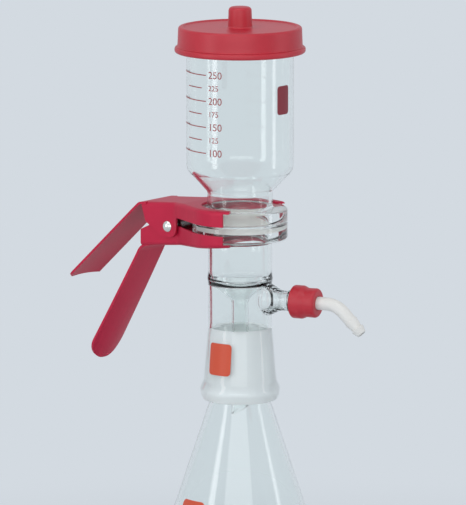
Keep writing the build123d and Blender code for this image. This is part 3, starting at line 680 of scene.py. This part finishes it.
def screw_thread():
    """A rounded ridge that winds along the side arm.

    At turn t, for f from 0 to 180 degrees, a point of its section stands at the start plus
    t times the pitch less half the width times cos f along the arm. Its distance from the
    arm's line is the sunk radius plus the ridge's strength times (lift + height sin f). Two more
    points close the section inside the wall. The strength is 3 times the turns to the nearer
    end, and 1 at most.
    """
    pitch, turns, start = 2.5, 5.4, 33.2
    half_width, height = 0.95, 1.0
    sunk_r, lift, inside_r = 5.75, 0.25, 5.3
    turn = np.linspace(0, turns, 260)
    strength = np.clip(3 * np.minimum(turn, turns - turn), 0, 1)[:, None]
    f = np.linspace(0, math.pi, 9)[None]
    along = start + turn[:, None] * pitch - half_width * np.cos(f)
    away = sunk_r + (lift + height * np.sin(f)) * strength
    along = np.hstack([along, along[:, -1:], along[:, :1]])
    away = np.hstack([away, np.full((len(turn), 2), inside_r)])
    angle = 2 * math.pi * turn[:, None]
    grid = (
        np.array([0, 0, ARM_Z])
        + along[..., None] * ARM_OUT
        + (away * np.cos(angle))[..., None] * ARM_SIDE
        + (away * np.sin(angle))[..., None] * UP
    )
    return capped("screw_thread", grid)


def slanting_wedge():
    """What the grinder takes off the drip tube's end: all below a plane that rises towards +X.

    Its side is a triangle in X and Z, and the two ends of the wedge stand at plus and minus
    half its width in Y.
    """
    half = DRIP_R + PAST
    rise = 2 * half * math.tan(DRIP_BEVEL)
    side = np.array([[-half, -PAST], [half, -PAST], [half, rise]]) + [0, DRIP_TIP]
    ends = [np.insert(side, 1, y, axis=1) for y in (-half, half)]
    return capped("slanting_wedge", np.stack(ends))


carved(arm_body, inside_cut, "DIFFERENCE")
carved(arm_body, screw_thread(), "UNION")
carved(base, arm_body, "UNION")
carved(base, arm_bore, "DIFFERENCE")
carved(base, slanting_wedge(), "DIFFERENCE")
base.data.shade_smooth()
base.data.set_sharp_from_angle(angle=math.radians(32))
fitted(base, "base", "filter_base", "clear_glass", GLASS, GROUND)
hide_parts("joint_socket", "drip_tube", "side_arm")
z, reach, looks_up = face_places(base)
in_height = (z > SOCKET_LOWEST) & (z < SOCKET_HIGHEST)
in_socket = in_height & (reach > SOCKET_IN_R) & (reach < joint_radius(z) + SOCKET_DEPTH)
on_flange = (looks_up > LEVEL) & (z > SEAM - FACE_DEPTH)
ground_where(base, in_socket | on_flange)

# ---- Membrane ----
MEMBRANE_R = 25.0
MEMBRANE_H = 0.2
MEMBRANE_EDGE = 0.05
MEMBRANE_GAP = 0.03  # to the ground face on each side

membrane = turned(
    "membrane_sheet",
    [
        (0, SEAM + MEMBRANE_GAP, 0),
        (MEMBRANE_R, SEAM + MEMBRANE_GAP, MEMBRANE_EDGE),
        (MEMBRANE_R, SEAM + MEMBRANE_H - MEMBRANE_GAP, MEMBRANE_EDGE),
        (0, SEAM + MEMBRANE_H - MEMBRANE_GAP, 0),
    ],
    parts=128,
)
fitted(membrane, "base", "membrane_filter", "membrane", MEMBRANE)

# ---- Funnel ----
FUNNEL_WALL = 2.2
FLANGE_TOP = FUNNEL_FOOT + 9.2
FUNNEL_NECK_R = 20.5
NECK_BEND = 4.0  # from the neck to the shoulder
SHOULDER = FLANGE_TOP + 10.2
SHOULDER_RISE = 14.0
BOWL = SHOULDER + SHOULDER_RISE
BOWL_R = 33.5
BOWL_IN_R = BOWL_R - FUNNEL_WALL
BOWL_BEND = 9.0  # from the shoulder to the bowl
WALL_LIFT = FUNNEL_WALL * math.tan(math.atan2(BOWL_R - FUNNEL_NECK_R, SHOULDER_RISE) / 2)
RIM_R = BOWL_R + 3.2
RIM_H = 4.0
RIM_EDGE = 0.6  # by which the rim's outside narrows at its top
RIM_MOUTH = 1.6  # by which the rim's inside widens at its top
RIM_STEP = 0.5  # how much lower the rim starts outside than inside

funnel = turned(
    "funnel_glass",
    [
        (FUNNEL_NECK_R - FUNNEL_WALL, FUNNEL_FOOT, 0.4),
        (FLANGE_R - BEVEL, FUNNEL_FOOT, 0),
        (FLANGE_R, FUNNEL_FOOT + BEVEL, 0),
        (FLANGE_R, FLANGE_TOP, FLANGE_EDGE),
        (FUNNEL_NECK_R, FLANGE_TOP, 2.2),
        (FUNNEL_NECK_R, SHOULDER, NECK_BEND),
        (BOWL_R, BOWL, BOWL_BEND),
        (BOWL_R, RIM - RIM_H, 4),
        (RIM_R, RIM - FUNNEL_WALL / 2, 0.8),
        (RIM_R - RIM_EDGE, RIM, 0.8),
        (BOWL_IN_R + RIM_MOUTH, RIM, 0.9),
        (BOWL_IN_R, RIM - RIM_H + RIM_STEP, 4),
        (BOWL_IN_R, BOWL + WALL_LIFT, BOWL_BEND - FUNNEL_WALL),
        (FUNNEL_NECK_R - FUNNEL_WALL, SHOULDER + WALL_LIFT, NECK_BEND + FUNNEL_WALL),
    ],
)
fitted(funnel, "base", "funnel", "clear_glass", GLASS, GROUND)
z, _, looks_up = face_places(funnel)
ground_where(funnel, (looks_up < -LEVEL) & (z < FUNNEL_FOOT + FACE_DEPTH))

# ---- Lid ----
LID_WALL = 1.9
LID_IN_R = RIM_R + 0.4
LID_R = LID_IN_R + LID_WALL
LID_DRAFT = 0.5  # by which the radius is smaller at the top
BEAD_R = LID_R + 1.8
BEAD_TOP = LID_FOOT + 3.8
DISH = LID_TOP - 13.4  # the sunk top, from which the knob rises
DISH_EDGE = 1.0  # width of the slope from the border down to it
BORDER_TOP = DISH + 0.8
BORDER_IN_R = LID_R - LID_DRAFT - 2.6
CEILING = DISH - LID_WALL
KNOB_R = 7.55
KNOB_IN_R = KNOB_R - LID_WALL
KNOB_IN_TOP = LID_TOP - 2.3
KNOB_DRAFT = 0.4
KNOB_IN_DRAFT = 0.3
KNOB_CROWN = 0.5  # height of the dome on the knob's top

lid = turned(
    "lid_moulding",
    [
        (0, LID_TOP, 0),
        (KNOB_R - KNOB_DRAFT, LID_TOP - KNOB_CROWN, 2.4),
        (KNOB_R, DISH, 1.2),
        (BORDER_IN_R - DISH_EDGE, DISH, 1.0),
        (BORDER_IN_R, BORDER_TOP, 0.8),
        (LID_R - LID_DRAFT, BORDER_TOP, 1.6),
        (LID_R, BEAD_TOP, 0.8),
        (BEAD_R, BEAD_TOP, 1.5),
        (BEAD_R, LID_FOOT, 1.4),
        (LID_IN_R, LID_FOOT, 0.4),
        (LID_IN_R - LID_DRAFT / 2, CEILING, 0.2),
        (KNOB_IN_R, CEILING, 0.8),
        (KNOB_IN_R - KNOB_IN_DRAFT, KNOB_IN_TOP, 1.0),
        (0, KNOB_IN_TOP, 0),
    ],
)
fitted(lid, "lid", "lid", "red_moulding", RED)

# ---- Pieces kept from the frame ----
for name, made in (
    ("frit_disc", FRIT),
    ("clamp_upper_lever", SHEET),
    ("clamp_lower_lever", SHEET),
    ("pivot_rivet", RIVET),
    ("side_arm_cap", RED),
    ("cap_seal", SILICONE),
    ("hose_connector", WHITE),
):
    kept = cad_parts[name]
    kept.data.materials.clear()
    kept.data.materials.append(made)

# ---- Torsion spring: its two halves follow the two levers ----
COIL_R, COIL_PITCH, COIL_LOOPS = 3.5, 1.7, 7
WIRE_R, WIRE_ROOM = 0.75, 0.015  # the lower half is thinner by the room where the halves overlap
LEG = 22.0
UPPER_LEG, LOWER_LEG = 158.0, 198.0  # where the legs point, in degrees from +X towards +Z
OVERLAP = math.radians(15)  # how far each half runs past the coil's middle

# The coil stops within its last loop, where it runs straight on into the lower leg.
COIL_START = math.radians(UPPER_LEG - 90)
COIL_TURN = math.radians(360 * COIL_LOOPS - (LOWER_LEG - UPPER_LEG + 180))


def spring_half(name, body, from_turn, to_turn, wire_r, leg_first):
    """Half of the coil with its straight leg.

    After turning by a, the wire's middle is at the hinge plus the coil's radius times
    (cos f, 0, sin f), with f the start less a, and along the rivet the pitch times a over a full
    turn, counted from the coil's middle. The leg runs on straight from the coil.
    """
    a = np.linspace(from_turn, to_turn, 150)
    f = COIL_START - a
    rise = COIL_PITCH / (2 * math.pi)
    y = rise * (a - COIL_TURN / 2)
    coil = HINGE + np.stack([COIL_R * np.cos(f), y, COIL_R * np.sin(f)], axis=1)
    onward = np.stack([COIL_R * np.sin(f), np.full_like(f, rise), -COIL_R * np.cos(f)], axis=1)
    onward /= np.linalg.norm(onward, axis=1)[:, None]
    reach = np.linspace(LEG, 0.5, 8)[:, None]
    if leg_first:
        path = np.vstack([coil[0] - reach * onward[0], coil])
    else:
        path = np.vstack([coil, coil[-1] + reach[::-1] * onward[-1]])
    half = carried(name, path, wire_r, np.array([0.0, 1.0, 0.0]))
    fitted(half, body, "clamp_spring", "spring_wire", WIRE)


middle = COIL_TURN / 2
spring_half("spring_upper_half", "upper_lever", 0, middle + OVERLAP, WIRE_R, True)
spring_half(
    "spring_lower_half", "lower_lever", middle - OVERLAP, COIL_TURN, WIRE_R - WIRE_ROOM, False
)

# ---- Prints: fired enamel on the glass ----
PRINT_LIFT = 0.05  # from the glass to the middle of the enamel
ENAMEL_HALF = 0.03  # half of the enamel's thickness
TYPE_REACH = 14  # all numbers are narrower than this


def wall_point(turn, x, height, away, radius_at):
    """A flat print's point on a round wall.

    The angle about the unit's axis is the print's turn plus x over the wall's radius, and the
    distance from the axis is that radius plus away.
    """
    radius = radius_at(height)
    angle = turn + x / radius
    out = radius + away
    return np.stack([out * np.cos(angle), out * np.sin(angle), height], axis=-1)


def field(name, turn, middle, width, tall, corner, radius_at, enamel, body):
    """A thin plain field of enamel with round corners.

    At x across, its half height is half the tall side, less the corner's radius, plus the root of
    that radius squared less the square of what x goes beyond the corner's middle. A loop of
    points runs up its outer face and down its inner one.
    """
    x = width / 2 * np.sin(np.linspace(-math.pi / 2, math.pi / 2, 8 + int(width)))
    beyond = np.clip(np.abs(x) - (width / 2 - corner), 0, corner)
    half = tall / 2 - corner + np.sqrt(corner**2 - beyond**2)
    up = np.linspace(-1, 1, 2 + int(tall / 2))
    loop = np.concatenate([up, up[::-1]])
    away = PRINT_LIFT + ENAMEL_HALF * np.concatenate([np.ones_like(up), -np.ones_like(up)])
    height = middle + half[:, None] * loop
    x, away = x[:, None] + 0 * height, away + 0 * height
    made = capped(name, wall_point(math.radians(turn), x, height, away, radius_at))
    fitted(made, body, None, "clear_glass", enamel)


def number(name, text, size, turn, middle, radius_at):
    """A number of the scale: flat type cut every millimetre, then bent round the wall."""
    letters = bpy.data.curves.new(name, "FONT")
    letters.body, letters.size, letters.align_y = text, size, "CENTER"
    letters.extrude = ENAMEL_HALF
    flat = bpy.data.objects.new(name, letters)
    bpy.context.scene.collection.objects.link(flat)
    view_layer = bpy.context.evaluated_depsgraph_get()
    mesh = bpy.data.meshes.new_from_object(flat.evaluated_get(view_layer))
    bpy.data.objects.remove(flat)
    work = bmesh.new()
    work.from_mesh(mesh)
    for cut in range(1, TYPE_REACH):
        everything = work.verts[:] + work.edges[:] + work.faces[:]
        bmesh.ops.bisect_plane(work, geom=everything, plane_co=(cut, 0, 0), plane_no=(1, 0, 0))
    work.to_mesh(mesh)
    work.free()
    points = np.empty(3 * len(mesh.vertices))
    mesh.vertices.foreach_get("co", points)
    x, y, z = points.reshape(-1, 3).T
    bent = wall_point(math.radians(turn), x, middle + y, PRINT_LIFT + z, radius_at)
    mesh.vertices.foreach_set("co", (bent / 1000).ravel())
    fitted(finished(name, mesh, sharp=20), "base", None, "clear_glass", SCALE_ENAMEL)


def on_bowl(height):
    """Outside radius of the funnel's bowl, the same at every height."""
    return BOWL_R + 0 * height


def on_skirt(height):
    """Outside radius of the base's skirt, which widens evenly from the mouth to the collar."""
    return STEM_R + (SKIRT_R - STEM_R) * (MOUTH - height) / (MOUTH - SKIRT_END)


def on_flask(height):
    """Outside radius of the flask's side: the neck's, plus the slope times the way down."""
    return NECK_R + (SIDE_TOP - height) * SLOPE


# The scale has a line and a number every 25 ml. Turns are in degrees from +X.
SCALE_TOP = RIM - 24.5
TOP_VOLUME, STEP_VOLUME, LINES = 250, 25, 7
LINE_GAP = 8.12  # height of 25 ml in the bowl
LINE_H, LINE_CORNER = 0.6, 0.25
TYPE_TURN = -88
WHOLE_STEP = (6.4, -142, -91)  # size of the number, and the turns where its line starts and ends
HALF_STEP = (4.9, -123, -97)  # the same between two steps of 50 ml

for step in range(LINES):
    volume, height = TOP_VOLUME - STEP_VOLUME * step, SCALE_TOP - LINE_GAP * step
    type_size, start, end = HALF_STEP if step % 2 else WHOLE_STEP
    turn, width = (start + end) / 2, BOWL_R * math.radians(end - start)
    number(f"number_{volume}", str(volume), type_size, TYPE_TURN, height, on_bowl)
    field(f"mark_{volume}", turn, height, width, LINE_H, LINE_CORNER, on_bowl, SCALE_ENAMEL, "base")

# Plain fields, with the heights of their middles above the flask's bottom.
field("funnel_field", 1, 348, 11.2, 18, 2.0, on_bowl, DARK_ENAMEL, "base")
field("skirt_field", -90, 184, 17, 20, 2.5, on_skirt, PATCH_ENAMEL, "base")
field("flask_field", -101, 84, 20, 24, 3.0, on_flask, PATCH_ENAMEL, "flask")

# ---- Camera ----
CAMERA_TURN, CAMERA_RISE = 38.0, 9.4  # degrees to the right of -Y and above the level
DISTANCE = 4000.0  # to the point that the camera looks at
AIM_RIGHT, AIM_HEIGHT = -4.4, 249.0  # of that point, from the unit's axis and its foot
FRAME_HEIGHT = 315.625  # what the camera sees from top to bottom, at that distance
SENSOR = 36.0  # along the frame's longer side, its height
FAR = 20.0  # metres, beyond which the camera sees nothing


def direction_to(turn, rise):
    """Direction at a turn to the right of -Y and a rise above the level, in degrees.

    It is (sin turn cos rise, -cos turn cos rise, sin rise).
    """
    turn, rise = math.radians(turn), math.radians(rise)
    level = math.cos(rise)
    return np.array([math.sin(turn) * level, -math.cos(turn) * level, math.sin(rise)])


back = direction_to(CAMERA_TURN, CAMERA_RISE)
right = direction_to(CAMERA_TURN + 90, 0)
lens = bpy.data.cameras.new("camera")
lens.sensor_width = SENSOR
lens.lens = SENSOR * DISTANCE / FRAME_HEIGHT
lens.clip_end = FAR
camera = bpy.data.objects.new("camera", lens)
camera.location = (AIM_RIGHT * right + AIM_HEIGHT * UP + DISTANCE * back) / 1000
camera.rotation_euler = Matrix((right, np.cross(back, right), back)).transposed().to_euler()
bpy.context.scene.collection.objects.link(camera)
bpy.context.scene.camera = camera

# ---- Floor and surround ----
PALE = colour("D3DAE1")
FLOOR_REACH = 6000.0  # each way from the unit's axis
FLOOR_GAP = 0.05  # below the flask's bottom
SHADOW_R, EVEN_R = 0.1, 0.55  # metres from the axis between which shadows fade to an even tone
SURROUND_LIGHT = 0.62  # strength of the light that the surround gives


def seen_directly(tree):
    """1 for a ray that the camera, a gloss or clear glass sends, and 0 for light on things.

    It is the largest of Light Path's three outputs for those rays.
    """
    path = node(tree, "ShaderNodeLightPath")
    total = path.outputs["Is Camera Ray"]
    for kind in ("Is Glossy Ray", "Is Transmission Ray"):
        links = {0: total, 1: path.outputs[kind]}
        total = node(tree, "ShaderNodeMath", {"operation": "MAXIMUM"}, links).outputs[0]
    return total


def pale_floor():
    """Matt paper roll: it takes the object's shadow near it and fades to an even pale tone."""
    made, tree, shader, place = material("matt_pale_paper", Base_Color=PALE, Roughness=0.9)
    even = node(tree, "ShaderNodeEmission", Color=PALE)
    away = node(tree, "ShaderNodeVectorMath", {"operation": "LENGTH"}, {0: place})
    fade = node(
        tree,
        "ShaderNodeMapRange",
        settings={"interpolation_type": "SMOOTHSTEP"},
        links={"Value": away.outputs["Value"]},
        From_Min=SHADOW_R,
        From_Max=EVEN_R,
    )
    links = {0: fade.outputs["Result"], 1: seen_directly(tree)}
    share = node(tree, "ShaderNodeMath", {"operation": "MULTIPLY"}, links)
    node(
        tree,
        "ShaderNodeMixShader",
        links={0: share.outputs[0], 1: shader.outputs[0], 2: even.outputs[0]},
        into=tree.nodes["Material Output"].inputs["Surface"],
    )
    return made


corners = [[[-1, -1, 0], [-1, 1, 0]], [[1, -1, 0], [1, 1, 0]]]
floor_grid = FLOOR_REACH * np.array(corners) - FLOOR_GAP * UP
floor = mesh_from("studio_floor", floor_grid, closed_u=False, closed_v=False)
floor.data.materials.append(pale_floor())

world = bpy.data.worlds.new("studio")
bpy.context.scene.world = world
world.use_nodes = True
tree = world.node_tree
surround = tree.nodes["Background"]
surround.inputs["Color"].default_value = colour("F2F5F8")
surround.inputs["Strength"].default_value = SURROUND_LIGHT
seen = node(tree, "ShaderNodeBackground", Color=PALE, Strength=1.0)
node(
    tree,
    "ShaderNodeMixShader",
    links={0: seen_directly(tree), 1: surround.outputs[0], 2: seen.outputs[0]},
    into=tree.nodes["World Output"].inputs["Surface"],
)

# ---- Lamps: all look at the unit's axis, about the middle of the camera's view ----
LAMP_AIM = Vector((0, 0, 0.25))


def softbox(name, turn, rise, distance, width, height, brightness):
    """A rectangular lamp, with its place and size in degrees and metres.

    It stands at a turn to the right of the camera's side and a rise above the level. A face of
    that brightness needs a power of pi times its area times the brightness.
    """
    lamp = bpy.data.lights.new(name, "AREA")
    lamp.shape = "RECTANGLE"
    lamp.size, lamp.size_y = width, height
    lamp.energy = math.pi * width * height * brightness
    holder = bpy.data.objects.new(name, lamp)
    towards = Vector(direction_to(CAMERA_TURN + turn, rise))
    holder.location = LAMP_AIM + towards * distance
    holder.rotation_euler = towards.to_track_quat("Z", "Y").to_euler()
    bpy.context.scene.collection.objects.link(holder)


softbox("left_softbox", -57, 10, 1.5, 0.32, 1.5, 2.8)
softbox("right_softbox", 79, 10, 1.5, 0.2, 1.5, 2.4)
softbox("front_softbox", -3, 11, 3.0, 3.0, 1.6, 1.3)
softbox("top_softbox", -25, 68, 1.6, 1.3, 1.0, 1.3)

bpy.context.scene.view_settings.view_transform = "Standard"
